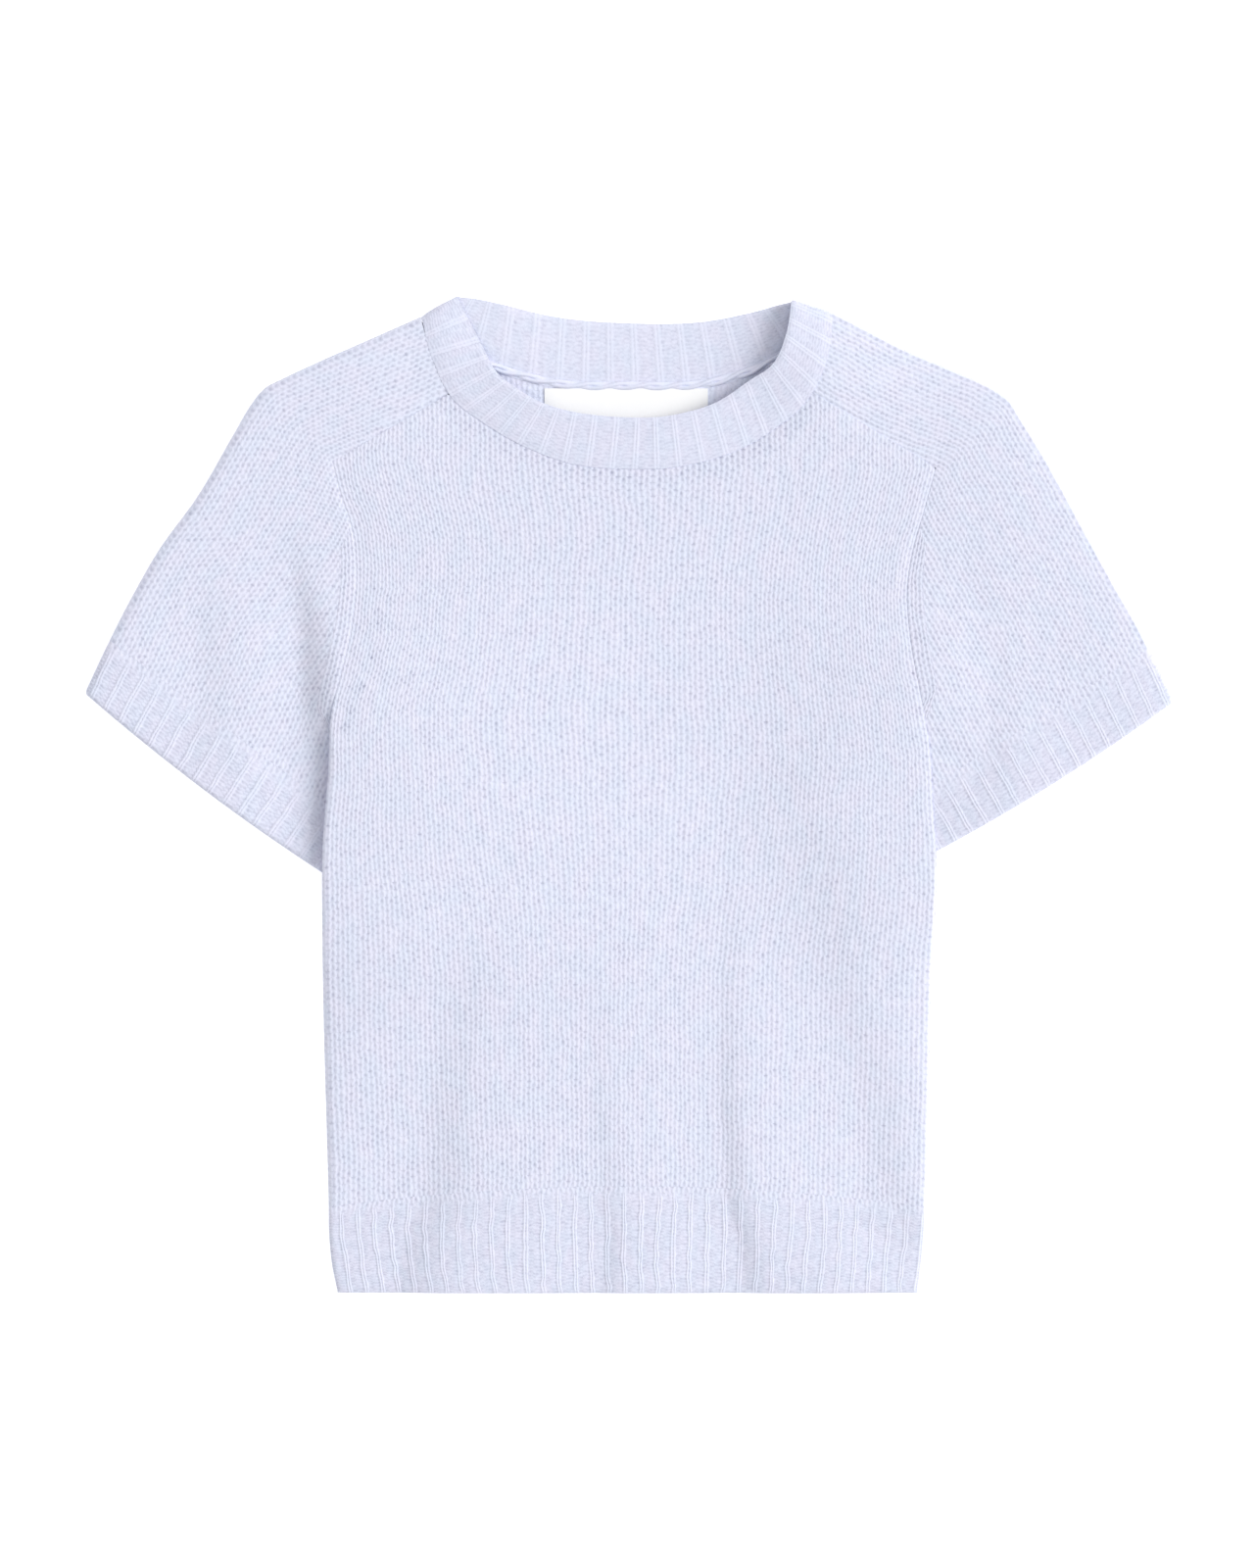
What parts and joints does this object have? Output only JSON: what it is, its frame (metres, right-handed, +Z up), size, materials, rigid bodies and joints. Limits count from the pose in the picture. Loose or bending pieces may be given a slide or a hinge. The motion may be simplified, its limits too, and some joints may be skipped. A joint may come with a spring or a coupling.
{
  "type": "short-sleeved knitted t-shirt, laid flat",
  "caption": "Short-sleeved cashmere knit t-shirt with saddle shoulders, ribbed crew neck, cuffs and hem, laid flat on its back.",
  "frame": {"origin": "on the surface that the shirt lies on, under the middle of its outline", "axes": "+X from cuff to cuff, +Y from the hem towards the neck, +Z up out of the surface, through the front of the shirt"},
  "size_m": [0.6663, 0.6101, 0.0202],
  "materials": {
    "knit": "soft, slightly fuzzy stocking-stitch knit in a pale lilac-blue yarn",
    "ribbing": "soft ribbed knit in the same yarn",
    "label": "plain white woven satin"
  },
  "bodies": {
    "root": {"front_panel": "knit", "back_panel": "knit", "sleeve_left": "knit", "sleeve_right": "knit", "hem_front": "ribbing", "hem_back": "ribbing", "cuff_left": "ribbing", "cuff_right": "ribbing", "neckband": "ribbing", "label": "label"}
  },
  "joints": []
}
